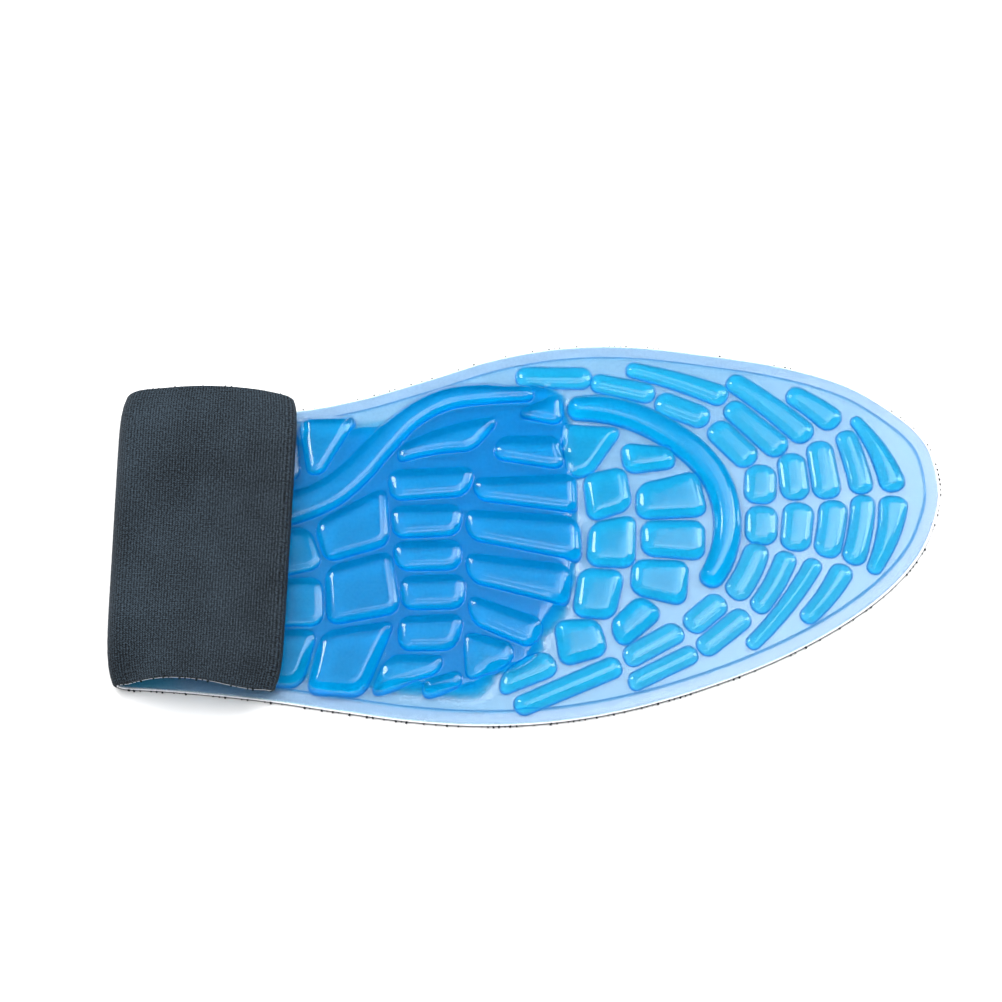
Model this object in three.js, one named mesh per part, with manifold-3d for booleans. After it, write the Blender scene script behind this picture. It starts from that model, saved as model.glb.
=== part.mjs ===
// Sports insole with a cushioned gel underside, lying gel side up with its heel rolled over.
// Lengths are millimetres. X points to the toe, Y to the inner edge of the foot, Z up.
import * as THREE from "three";
import Module from "manifold-3d";

const wasm = await Module();
wasm.setup();

// The layers, measured from the face where the cloth meets the gel.
const CLOTH_THICKNESS = 1.0;
const BOND_GAP = 0.3;
const GEL_SHEET = 1.0;
const GEL_LOW = BOND_GAP;
const GEL_TOP = BOND_GAP + GEL_SHEET;
const SUNK = 0.4;

// The gel stops short of the cloth's cut edge, and further back at the toe.
const CLOTH_MARGIN = 0.5;
const TOE_MARGIN = 0.8;
const HEEL_MARGIN = 0.8;

// A low bead runs round inside the gel's edge as far as the fold.
const BEAD_INSET = 3.0;
const BEAD_WIDTH = 1.5;
const BEAD_CREST = 0.7;
const BEAD_HEIGHT = 0.5;

// Where the toe tip lies ahead of the ball line.
const TOE_AHEAD = 101.5;

// The flat cut: the distance back from the toe tip, then the inner and the outer edge.
const CUT = named(["run", "inner", "outer"], [
  [0, 12.5, 12.5],
  [2, 23.4, 3.3],
  [5, 28.2, -3.3],
  [11, 33.4, -11.0],
  [21, 39.5, -19.6],
  [36, 44.0, -29.0],
  [54, 46.7, -37.2],
  [72, 48.3, -43.2],
  [88, 47.5, -46.5],
  [104, 44.0, -47.8],
  [120, 38.0, -47.3],
  [136, 32.4, -45.5],
  [152, 28.8, -43.5],
  [168, 27.8, -42.2],
  [184, 28.0, -41.6],
  [200, 29.3, -41.9],
  [216, 30.4, -42.8],
  [232, 29.4, -43.2],
  [248, 23.6, -37.4],
  [261, 12.6, -26.4],
  [268, 2.0, -15.8],
  [271, -6.5, -6.5],
]);
const LENGTH = CUT[CUT.length - 1].run;

// The roll: a row for each bend, with its length and its turn in the middle and at the edges.
const ROLL = named(["bend", "length", "turn", "edgeLength", "edgeTurn"], [
  ["lower", 165.0, 0, 165.0, 0],
  ["lowerEnd", 20.0, 0, 18.4, 0],
  ["heelFold", 14.0, 175, 12.0, 172],
  ["flap", 33.8, 10, 31.0, 20],
  ["tuckFold", 5.4, 175, 5.2, 168],
  ["tuckRest", 5.0, 0, 5.0, 0],
  ["tuckDrop", 8.0, -18, 8.0, -6],
  ["tuckLevel", 8.0, 18, 8.0, 6],
  ["tuck", 15.0, 0, 15.0, 0],
]);
const FOLD_RUN = ROLL[0].length + ROLL[1].length;

// The flap's edges sag within the last of its half width, and the middle has a shallow dent.
const FLAP_MIDDLE = -6.0;
const FLAP_HALF = 36.5;
const SAG_POWER = 10;
const DENT = { run: 212, side: -5, depth: 2.4, along: 8.5, across: 12 };

// The fold lies a little crooked: its outer end is shifted to the toe, less and less along the flap.
const SKEW = { shift: 1.7, side: 28, span: 70, from: 172, full: 190, to: 232 };

// How finely the sheets are divided: rows along, with more at the round ends, and shares across.
const ROW_STEP = 11;
const ROW_TURN = 25;
const END_REACH = 24;
const END_ROWS = 6;
const ACROSS = [0, 0.05, 0.15, 0.35, 0.65, 0.85, 0.95, 1];

// A raised cell runs from point a to point b, with a width at each end.
// Bow curves it to the left of that line, and a slant leans each end, in degrees.
const CELL = ["ax", "ay", "bx", "by", "wa", "wb", "bow", "slantA", "slantB"];
const CELLS = {
  arch: named(CELL, [
    [-40.6, 27.0, -43.1, 11.5, 14.2, 3.4, 0, -13, -11],
    [-24.3, 16.9, -3.3, 23.2, 3.7, 8.8, 1.2, 21, 39],
    [-1.8, 19.8, 14.0, 18.8, 6.0, 8.6, 0, 9, -13],
    [13.8, 30.4, 3.9, 28.3, 9.4, 1.8, 0, 12, -3],
  ]),
  heel: named(CELL, [
    [-41.2, -5.7, -25.7, 1.9, 10.3, 14.1, 0, 7, 20],
    [-39.0, -18.9, -23.2, -14.5, 14.1, 15.7, 0, 10, 5],
    [-41.0, -34.5, -26.0, -33.1, 14.1, 17.5, 0, 18, 26],
  ]),
  flapEdge: named(CELL, [
    [-50.2, 23.1, -49.6, 9.6, 4.8, 6.6, 0, 0, 0],
    [-52.0, -8.8, -41.7, -6.7, 11.7, 10.8, 0, 8, -9],
    [-51.8, -20.6, -39.6, -20.0, 11.6, 12.1, 0, 0, -2],
    [-51.0, -33.9, -41.8, -33.5, 13.1, 13.3, 0, -1, 17],
  ]),
  shank: named(CELL, [
    [-26.0, 9.3, -6.7, 11.0, 7.9, 7.4, 0, -4, 18],
    [-25.0, 0.1, -8.8, 1.2, 8.2, 7.9, 0, -5, 8],
    [-24.0, -8.4, -8.5, -7.5, 7.3, 7.5, 0, -9, 5],
    [-22.1, -17.4, -7.4, -16.5, 8.4, 8.6, 0, -3, 4],
    [-22.2, -27.3, -8.0, -26.5, 8.5, 8.9, 0, 0, 15],
  ]),
  waist: named(CELL, [
    [-6.3, 9.0, 17.6, 8.7, 5.5, 10.0, 0, -16, -5],
    [-7.9, 0.1, 18.8, -2.7, 7.4, 11.0, 0, -17, -9],
    [-7.4, -10.5, 16.6, -14.4, 7.0, 10.1, 0, -22, -5],
    [-6.5, -20.6, 9.9, -26.7, 6.4, 7.8, 0, -31, 3],
  ]),
  outerShank: named(CELL, [
    [-26.3, -37.4, -12.0, -34.5, 9.1, 4.0, 0, 35, 25],
    [-16.1, -40.4, -7.4, -37.4, 3.8, 3.8, 0, 10, 4],
    [-7.0, -32.4, 4.1, -31.0, 13.0, 4.4, 0, 2, 2],
  ]),
  outerWaist: named(CELL, [
    [1.2, -38.4, 13.4, -31.8, 4.7, 6.8, 0, 27, -3],
    [4.8, -43.7, 28.4, -32.2, 4.9, 5.3, 0, 0, 0],
  ]),
  ball: named(CELL, [
    [20.7, 27.0, 17.8, 13.6, 15.0, 5.2, 0, -10, -20],
    [19.4, 8.3, 29.6, 11.7, 12.0, 10.8, 0, 10, 8],
    [20.2, -3.1, 31.3, -1.8, 10.6, 13.5, 0, 9, 7],
    [17.7, -14.9, 27.9, -15.4, 12.1, 12.4, 0, 4, 8],
    [13.8, -27.8, 24.5, -25.6, 11.6, 8.9, 0, 2, -4],
    [27.7, 18.9, 40.0, 19.5, 8.2, 5.2, 0, -6, -10],
    [31.1, 7.9, 46.6, 10.7, 8.6, 11.9, 0, 10, -3],
    [32.4, -1.0, 47.2, -1.2, 8.7, 10.0, 0, -2, -1],
    [30.3, -10.6, 43.3, -12.1, 8.5, 11.4, 0, -4, -2],
    [26.9, -25.8, 35.4, -17.2, 6.8, 7.6, 0, 18, -7],
  ]),
  inner: named(CELL, [
    [2.5, 39.1, 20.3, 39.4, 5.5, 5.7, 0, 0, 0],
    [20.1, 38.6, 35.2, 35.5, 4.9, 5.2, 0, 0, 0],
    [28.3, 42.2, 52.1, 35.2, 3.8, 5.8, 0.6, 0, 0],
    [35.4, 34.2, 47.9, 29.4, 5.9, 5.9, 0, 0, 0],
    [52.3, 40.3, 71.3, 25.3, 5.0, 6.4, 0.6, 0, 0],
    [52.1, 33.6, 65.4, 21.7, 5.4, 6.6, 0, 0, 0],
    [48.6, 28.3, 58.2, 18.7, 6.3, 6.5, 0, 0, 0],
    [66.2, 37.2, 77.8, 29.0, 4.8, 6.8, 0.5, 0, 0],
    [81.4, 31.1, 91.0, 12.6, 2.7, 6.5, 1.3, 0, 0],
  ]),
  toe: named(CELL, [
    [60.0, 18.3, 59.8, 8.5, 7.2, 7.6, 0, 0, 0],
    [66.8, 21.5, 68.2, 9.7, 6.6, 6.8, 0, 0, 0],
    [73.3, 24.8, 75.6, 10.3, 6.2, 6.8, 0, 0, 0],
    [79.2, 27.6, 83.6, 11.8, 5.1, 5.7, 0.4, 0, 0],
    [60.3, 7.9, 60.0, -1.8, 7.5, 7.3, 0, 0, 0],
    [68.9, 9.0, 67.8, -3.1, 7.2, 7.0, 0, 0, 0],
    [76.8, 9.9, 74.8, -4.4, 6.7, 6.3, 0.4, 0, 0],
    [83.6, 11.4, 80.8, -6.0, 5.7, 5.5, 0.7, 0, 0],
    [90.7, 11.4, 85.3, -8.1, 7.2, 3.2, 1.2, 0, 0],
  ]),
  outer: named(CELL, [
    [59.5, -1.6, 53.4, -15.1, 5.9, 6.1, 0.8, 0, 0],
    [66.3, -3.4, 58.7, -18.3, 5.2, 4.8, 0.8, 0, 0],
    [72.7, -5.1, 57.3, -27.2, 4.4, 3.4, 1, 0, 0],
    [79.3, -6.3, 69.7, -20.4, 5.6, 4.0, 0.8, 0, 0],
    [43.3, -23.1, 51.5, -15.4, 5.9, 5.9, 0, 0, 0],
    [46.2, -28.6, 57.0, -18.9, 5.3, 5.5, 0, 0, 0],
    [29.2, -31.2, 42.0, -23.2, 5.3, 5.5, 0, 8, -7],
    [30.3, -37.1, 45.5, -28.6, 4.5, 4.6, 0, 10, 0],
  ]),
};

// How far each group of cells stands above the gel sheet: thick under the arch, thin at the toe.
const CELL_HEIGHTS = {
  arch: 3.0,
  heel: 3.0,
  flapEdge: 2.6,
  shank: 3.0,
  waist: 3.0,
  outerShank: 2.8,
  outerWaist: 1.6,
  ball: 2.0,
  inner: 1.7,
  toe: 1.5,
  outer: 1.5,
};
const CELL_CORNER = 3.0;

// Two long raised bands: one sweeps from the heel to the arch, one rings the ball.
const BAND = ["ahead", "side", "width"];
const BANDS = [
  {
    height: 3.0,
    spine: named(BAND, [
      [-54.0, 0.6, 7.6],
      [-47.0, 3.2, 8.0],
      [-39.5, 7.0, 7.8],
      [-33.2, 13.0, 7.2],
      [-28.2, 19.6, 6.8],
      [-22.0, 27.0, 6.6],
      [-14.0, 32.0, 6.4],
      [-4.0, 33.8, 6.0],
      [6.8, 33.6, 3.6],
    ]),
  },
  {
    height: 2.5,
    spine: named(BAND, [
      [14.8, 31.2, 5.6],
      [23.0, 31.4, 6.8],
      [31.0, 29.4, 6.8],
      [38.0, 25.8, 6.8],
      [44.5, 21.0, 6.8],
      [49.6, 14.5, 6.6],
      [52.0, 7.0, 6.4],
      [52.2, 0.0, 6.2],
      [50.6, -6.5, 6.0],
      [47.6, -12.4, 5.4],
    ]),
  },
];

/** Gives the rows of a table their column names. */
function named(columns, rows) {
  return rows.map((row) => Object.fromEntries(columns.map((column, i) => [column, row[i]])));
}

/** The closed outline of the flat cut, along the inner edge from the toe and back along the outer. */
const outline = new THREE.CatmullRomCurve3(
  [
    ...CUT.map((row) => new THREE.Vector3(row.run, row.inner, 0)),
    ...CUT.slice(1, -1).reverse().map((row) => new THREE.Vector3(row.run, row.outer, 0)),
  ],
  true,
  "centripetal",
);
const SPANS = CUT.length - 1;

/** A point of the outline at a run from the toe tip, moved in from the edge by an inset. */
function edgePoint(run, onInner, inset) {
  const i = Math.min(CUT.findLastIndex((row) => row.run <= run), SPANS - 1);
  const station = i + (run - CUT[i].run) / (CUT[i + 1].run - CUT[i].run);
  const share = station / (2 * SPANS);
  const at = onInner ? share : (1 - share) % 1;
  const point = outline.getPoint(at);
  const tangent = outline.getTangent(at);
  return new THREE.Vector2(point.x + tangent.y * inset, point.y - tangent.x * inset);
}

/** Follows the roll's bends to a distance from the toe tip, in the middle or at the edges. */
function profile(run, lengthKey, turnKey) {
  let heading = Math.PI;
  let along = TOE_AHEAD;
  let up = CLOTH_THICKNESS;
  let left = run;
  for (const row of ROLL) {
    const bend = THREE.MathUtils.degToRad(row[turnKey]) / row[lengthKey];
    const share = Math.min(left / row.length, 1);
    const step = share * row[lengthKey];
    const turned = heading - bend * step;
    if (bend === 0) {
      along += Math.cos(heading) * step;
      up += Math.sin(heading) * step;
    } else {
      along += (Math.sin(heading) - Math.sin(turned)) / bend;
      up += (Math.cos(turned) - Math.cos(heading)) / bend;
    }
    heading = turned;
    left -= share * row.length;
  }
  return { along, up, normalX: Math.sin(heading), normalZ: -Math.cos(heading) };
}

/** How far a point of the flat cut is shifted to the toe because the fold lies crooked. */
function crooked(flat) {
  const { clamp } = THREE.MathUtils;
  const outward = clamp((SKEW.side - flat.y) / SKEW.span, 0, 1);
  const onset = clamp((flat.x - SKEW.from) / (SKEW.full - SKEW.from), 0, 1);
  const waning = clamp((SKEW.to - flat.x) / (SKEW.to - SKEW.full), 0, 1);
  return SKEW.shift * outward * Math.min(onset, waning);
}

/** Carries a point of the flat cut, and its rise above the cloth, onto the rolled insole. */
function place(flat, rise) {
  const middle = profile(flat.x, "length", "turn");
  const edge = profile(flat.x, "edgeLength", "edgeTurn");
  const share = Math.min(1, Math.abs(flat.y - FLAP_MIDDLE) / FLAP_HALF) ** SAG_POWER;
  const mix = (key) => THREE.MathUtils.lerp(middle[key], edge[key], share);
  const size = Math.hypot(mix("normalX"), mix("normalZ"));
  const along = (flat.x - DENT.run) / DENT.along;
  const across = (flat.y - DENT.side) / DENT.across;
  const dent = DENT.depth * Math.exp(-along * along - across * across);
  return new THREE.Vector3(
    mix("along") + crooked(flat) + (rise * mix("normalX")) / size,
    flat.y,
    mix("up") + (rise * mix("normalZ")) / size - (flat.x > FOLD_RUN ? dent : 0),
  );
}

/** Builds a solid from points and triangles. */
function solid(points, faces) {
  return new wasm.Manifold(
    new wasm.Mesh({
      numProp: 3,
      vertProperties: Float32Array.from(points.flatMap((p) => [p.x, p.y, p.z])),
      triVerts: Uint32Array.from(faces.flat()),
    }),
  );
}

/** The runs of the sheet's rows: close together at the rounded ends and where the sheet bends. */
function rowRuns() {
  const reaches = Array.from({ length: END_ROWS }, (_, k) => END_REACH * ((k + 1) / END_ROWS) ** 2);
  const runs = [...reaches];
  let start = 0;
  for (const row of ROLL) {
    const from = Math.max(start, END_REACH);
    const to = Math.min(start + row.length, LENGTH - END_REACH);
    const turn = Math.abs(row.turn) * ((to - from) / row.length);
    const steps = Math.ceil(Math.max((to - from) / ROW_STEP, turn / ROW_TURN));
    for (let k = 1; k <= steps; k += 1) {
      runs.push(from + ((to - from) * k) / steps);
    }
    start += row.length;
  }
  return [...runs, ...reaches.slice(0, -1).reverse().map((reach) => LENGTH - reach)];
}

/** A closed sheet of the cut's shape between two rises, drawn in from the edge by the margins. */
function slab(low, high, margin, toeMargin, heelMargin) {
  const tip = (run, side) => [new THREE.Vector2(run, side)];
  const rows = rowRuns()
    .map((run) => {
      const outer = edgePoint(run, false, margin);
      const inner = edgePoint(run, true, margin);
      return ACROSS.map((share) => outer.clone().lerp(inner, share));
    })
    .filter((row) => row[0].x > toeMargin && row[0].x < LENGTH - heelMargin);
  rows.unshift(tip(toeMargin, CUT[0].inner));
  rows.push(tip(LENGTH - heelMargin, CUT[SPANS].inner));
  const points = [];
  const layer = (rise) => rows.map((row) => row.map((flat) => points.push(place(flat, rise)) - 1));
  const under = layer(low);
  const over = layer(high);
  const faces = [];
  const face = (a, b, c) => {
    if (a !== b && b !== c && c !== a) {
      faces.push([a, b, c]);
    }
  };
  const pick = (row, j) => row[Math.min(j, row.length - 1)];
  const last = ACROSS.length - 1;
  for (let i = 0; i + 1 < rows.length; i += 1) {
    for (let j = 0; j < last; j += 1) {
      const quad = (grid) => [
        pick(grid[i], j),
        pick(grid[i + 1], j),
        pick(grid[i + 1], j + 1),
        pick(grid[i], j + 1),
      ];
      const [a, b, c, d] = quad(over);
      face(a, d, c);
      face(a, c, b);
      const [e, f, g, h] = quad(under);
      face(e, g, h);
      face(e, f, g);
    }
    const wall = (j, flip) => {
      const [a, b] = [pick(under[i], j), pick(under[i + 1], j)];
      const [c, d] = [pick(over[i + 1], j), pick(over[i], j)];
      face(a, flip ? b : c, flip ? c : b);
      face(a, flip ? c : d, flip ? d : c);
    };
    wall(0, false);
    wall(last, true);
  }
  return solid(points, faces);
}

/** Joins rings of points, left side out and right side back, into a closed raised bar. */
function loft(rings) {
  const count = rings[0].length;
  const half = count / 2;
  const points = rings.flat();
  const faces = [];
  for (let r = 0; r + 1 < rings.length; r += 1) {
    for (let i = 0; i < count; i += 1) {
      const k = (i + 1) % count;
      const low = r * count;
      const high = low + count;
      faces.push([low + i, high + k, low + k], [low + i, high + i, high + k]);
    }
  }
  const top = (rings.length - 1) * count;
  for (let i = 0; i + 1 < half; i += 1) {
    const [l0, l1, r0, r1] = [i, i + 1, count - 1 - i, count - 2 - i];
    faces.push([top + l0, top + r0, top + r1], [top + l0, top + r1, top + l1]);
    faces.push([l0, r1, r0], [l0, l1, r1]);
  }
  return solid(points, faces);
}

/** One ring of a bar that follows a spine: its outline drawn in by an inset, at a rise. */
function ring(spine, width, stops, inset, rise, slant) {
  const length = spine.getLength();
  const sides = stops.map((stop) => {
    const u = THREE.MathUtils.clamp(stop, 0, 1);
    const reach = inset + u * (length - 2 * inset);
    const at = reach / length;
    const point = spine.getPointAt(at);
    const tangent = spine.getTangentAt(at);
    const lean = Math.tan(THREE.MathUtils.degToRad(slant(at)));
    const full = width(at) / 2 - inset;
    const corner = Math.min(Math.max(0.5, CELL_CORNER - inset * 0.5), full * 0.9);
    const fromEnd = Math.min(u, 1 - u) * (length - 2 * inset);
    const bite = Math.max(0, corner - fromEnd);
    const half = full - corner + Math.sqrt(corner * corner - bite * bite);
    const side = (sign) => {
      const ahead = point.x + sign * half * (-tangent.y + lean * tangent.x);
      const across = point.y + sign * half * (tangent.x + lean * tangent.y);
      return place(new THREE.Vector2(TOE_AHEAD - ahead, across), rise);
    };
    return { left: side(1), right: side(-1) };
  });
  return [...sides.map((s) => s.left), ...sides.reverse().map((s) => s.right)];
}

/** A raised pillow along a spine: sunk foot, steep wall, rounded shoulder and flat top. */
function pillow(spine, width, stops, height, slant) {
  const rings = [
    { inset: 0, rise: GEL_TOP - SUNK },
    { inset: 0.35, rise: GEL_TOP + height * 0.7 },
    { inset: 1.1, rise: GEL_TOP + height },
  ];
  return loft(rings.map(({ inset, rise }) => ring(spine, width, stops, inset, rise, slant)));
}

/** A cell of the table as a solid. */
function cell(row, height) {
  const a = new THREE.Vector3(row.ax, row.ay, 0);
  const b = new THREE.Vector3(row.bx, row.by, 0);
  const line = b.clone().sub(a).normalize();
  const left = new THREE.Vector3(-line.y, line.x, 0);
  const control = a.clone().lerp(b, 0.5).addScaledVector(left, 2 * row.bow);
  const spine = new THREE.QuadraticBezierCurve3(a, control, b);
  const rounding = CELL_CORNER / spine.getLength();
  const ends = [0, 0.35 * rounding, rounding];
  const middle = row.bow === 0 ? [] : [0.5];
  const stops = [...ends, ...middle, ...ends.map((stop) => 1 - stop).reverse()];
  const width = (u) => THREE.MathUtils.lerp(row.wa, row.wb, u);
  const slant = (u) => THREE.MathUtils.lerp(row.slantA, row.slantB, u);
  return pillow(spine, width, stops, height, slant);
}

/** A long band that follows its own spine table. */
function band({ spine: rows, height }) {
  const spine = new THREE.CatmullRomCurve3(
    rows.map((row) => new THREE.Vector3(row.ahead, row.side, 0)),
    false,
    "centripetal",
  );
  const count = Math.round(1.5 * (rows.length - 1));
  const stops = Array.from({ length: count + 1 }, (_, i) => i / count);
  const rounding = (0.35 * CELL_CORNER) / spine.getLength();
  stops.splice(1, 0, rounding);
  stops.splice(-1, 0, 1 - rounding);
  const width = (u) => {
    const station = u * (rows.length - 1);
    const i = Math.min(Math.floor(station), rows.length - 2);
    return THREE.MathUtils.lerp(rows[i].width, rows[i + 1].width, station - i);
  };
  return pillow(spine, width, stops, height, () => 0);
}

/** The bead inside the gel's edge, from the fold round the toe and back to the fold. */
function bead() {
  const runs = rowRuns().filter((run) => run < FOLD_RUN);
  const trail = [
    ...runs.toReversed().map((run) => [run, true]),
    [0, true],
    ...runs.map((run) => [run, false]),
  ];
  const section = (inset, rise) =>
    trail.map(([run, inner]) => place(edgePoint(run, inner, inset), rise));
  const ringAt = (width, rise) => [
    ...section(BEAD_INSET + CLOTH_MARGIN - width / 2, rise),
    ...section(BEAD_INSET + CLOTH_MARGIN + width / 2, rise).reverse(),
  ];
  return loft([ringAt(BEAD_WIDTH, GEL_TOP - SUNK), ringAt(BEAD_CREST, GEL_TOP + BEAD_HEIGHT)]);
}

/** A named mesh of a solid, with its own material. */
function piece(name, shape, look) {
  const { vertProperties, triVerts } = shape.getMesh();
  const geometry = new THREE.BufferGeometry();
  geometry.setAttribute("position", new THREE.BufferAttribute(Float32Array.from(vertProperties), 3));
  geometry.setIndex(new THREE.BufferAttribute(Uint32Array.from(triVerts), 1));
  geometry.computeVertexNormals();
  const mesh = new THREE.Mesh(geometry, new THREE.MeshStandardMaterial(look));
  mesh.name = name;
  return mesh;
}

const cells = Object.entries(CELLS).flatMap(([group, rows]) =>
  rows.map((row) => cell(row, CELL_HEIGHTS[group])),
);
const sheet = slab(GEL_LOW, GEL_TOP, CLOTH_MARGIN, TOE_MARGIN, HEEL_MARGIN);
const gel = wasm.Manifold.union([sheet, bead(), ...BANDS.map(band), ...cells]);
const cloth = slab(-CLOTH_THICKNESS, 0, 0, 0, 0);

const insole = new THREE.Group();
insole.name = "sports_insole";
insole.add(piece("top_cloth", cloth, { color: "#2c343c", roughness: 0.95, metalness: 0 }));
insole.add(piece("gel_sole", gel, { color: "#1d8fe6", roughness: 0.18, metalness: 0 }));

// The origin sits under the middle of the rolled insole, on the surface it rests on.
const box = new THREE.Box3().setFromObject(insole);
const centre = box.getCenter(new THREE.Vector3());
for (const mesh of insole.children) {
  mesh.geometry.translate(-centre.x, -centre.y, -box.min.z);
}

export default insole;
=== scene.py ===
"""Sports insole: a clear blue gel underside bonded to a black knit cloth, its heel end rolled over."""

import logging
import math
from dataclasses import dataclass, field
from enum import Enum
from typing import NamedTuple, Sequence

import bpy
import numpy as np
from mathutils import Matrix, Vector
from mathutils.geometry import delaunay_2d_cdt


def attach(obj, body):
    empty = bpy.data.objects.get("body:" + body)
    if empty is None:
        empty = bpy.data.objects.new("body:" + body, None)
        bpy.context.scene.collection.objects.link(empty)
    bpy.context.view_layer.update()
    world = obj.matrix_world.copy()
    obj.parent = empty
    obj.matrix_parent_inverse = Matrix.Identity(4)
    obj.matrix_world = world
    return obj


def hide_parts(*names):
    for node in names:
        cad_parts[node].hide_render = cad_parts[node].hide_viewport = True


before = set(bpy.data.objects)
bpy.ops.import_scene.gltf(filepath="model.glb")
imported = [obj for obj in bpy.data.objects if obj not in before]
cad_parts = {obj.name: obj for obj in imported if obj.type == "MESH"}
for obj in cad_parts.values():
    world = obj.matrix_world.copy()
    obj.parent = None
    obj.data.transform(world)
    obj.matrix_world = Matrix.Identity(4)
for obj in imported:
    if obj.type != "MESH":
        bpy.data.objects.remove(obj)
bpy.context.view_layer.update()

LOG = logging.getLogger("sports_insole")
MM = 0.001
FLAT_MAP = "flat_cut"
# The point attribute that carries the gel's painted shade.
PAINTED_GEL_SHADE = "painted_gel_shade"
Points = np.ndarray

# Lengths in the tables and in the dataclass fields are millimetres. "Run" is the distance back
# from the toe tip along the cloth, "ahead" the distance in front of the ball line, and "side" the
# distance towards the inner edge of the foot. MIDDLE is where the frame's origin lies, ahead and
# to the side.
TOE_AHEAD = 101.5
MIDDLE = (6.25, 0.25)


class CutRow(NamedTuple):
    """One station of the flat cut: its run, and where the inner and outer edges lie."""

    run: float
    inner: float
    outer: float


class Bend(NamedTuple):
    """One bend of the roll: its length and turn in the middle of the flap and at its edges."""

    name: str
    length: float
    turn: float
    edge_length: float
    edge_turn: float


class CellRow(NamedTuple):
    """A raised cell from point a to point b: end widths, bow to the left, and how each end slants."""

    ax: float
    ay: float
    bx: float
    by: float
    wa: float
    wb: float
    bow: float
    slant_a: float
    slant_b: float


class BandRow(NamedTuple):
    """A station on the spine of a long raised band."""

    ahead: float
    side: float
    width: float


class WebPatch(NamedTuple):
    """A wider gap that the web fills too: its middle, and how far it reaches along and across."""

    ahead: float
    side: float
    along: float
    across: float


class Softbox(NamedTuple):
    """A softbox: its place and size in metres, its power, and whether gloss mirrors it."""

    name: str
    place: tuple[float, float, float]
    size: tuple[float, float]
    watts: float
    mirrored: bool = True


CUT = tuple(CutRow(*row) for row in (
    (0, 12.5, 12.5),
    (2, 23.4, 3.3),
    (5, 28.2, -3.3),
    (11, 33.4, -11.0),
    (21, 39.5, -19.6),
    (36, 44.0, -29.0),
    (54, 46.7, -37.2),
    (72, 48.3, -43.2),
    (88, 47.5, -46.5),
    (104, 44.0, -47.8),
    (120, 38.0, -47.3),
    (136, 32.4, -45.5),
    (152, 28.8, -43.5),
    (168, 27.8, -42.2),
    (184, 28.0, -41.6),
    (200, 29.3, -41.9),
    (216, 30.4, -42.8),
    (232, 29.4, -43.2),
    (248, 23.6, -37.4),
    (261, 12.6, -26.4),
    (268, 2.0, -15.8),
    (271, -6.5, -6.5),
))

ROLL = tuple(Bend(*row) for row in (
    ("lower", 165.0, 0, 165.0, 0),
    ("lower_end", 20.0, 0, 18.4, 0),
    ("heel_fold", 14.0, 175, 12.0, 172),
    ("flap", 33.8, 10, 31.0, 20),
    ("tuck_fold", 5.4, 175, 5.2, 168),
    ("tuck_rest", 5.0, 0, 5.0, 0),
    ("tuck_drop", 8.0, -18, 8.0, -6),
    ("tuck_level", 8.0, 18, 8.0, 6),
    ("tuck", 15.0, 0, 15.0, 0),
))
FOLD_RUN = ROLL[0].length + ROLL[1].length


class CellGroup(Enum):
    """The groups of cells: how high each stands above the gel sheet, and whether a web joins it."""

    ARCH = ("arch", 3.8, True)
    HEEL = ("heel", 3.95, True)
    FLAP_EDGE = ("flap edge", 3.4, True)
    SHANK = ("shank", 3.8, True)
    WAIST = ("waist", 3.8, True)
    OUTER_SHANK = ("outer shank", 3.4, True)
    OUTER_WAIST = ("outer waist", 1.55, False)
    BALL = ("ball", 2.0, False)
    INNER = ("inner", 1.6, False)
    TOE = ("toe", 1.45, False)
    OUTER = ("outer", 1.2, False)

    @property
    def height(self) -> float:
        """How far the group's cells stand above the gel sheet."""
        return self.value[1]

    @property
    def webbed(self) -> bool:
        """Whether thicker gel fills the channels between the group's cells."""
        return self.value[2]


class Raised(NamedTuple):
    """The foot of a raised cell or band on the flat cut, its height, and whether a web joins it."""

    foot: Points
    height: float
    webbed: bool


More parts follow.
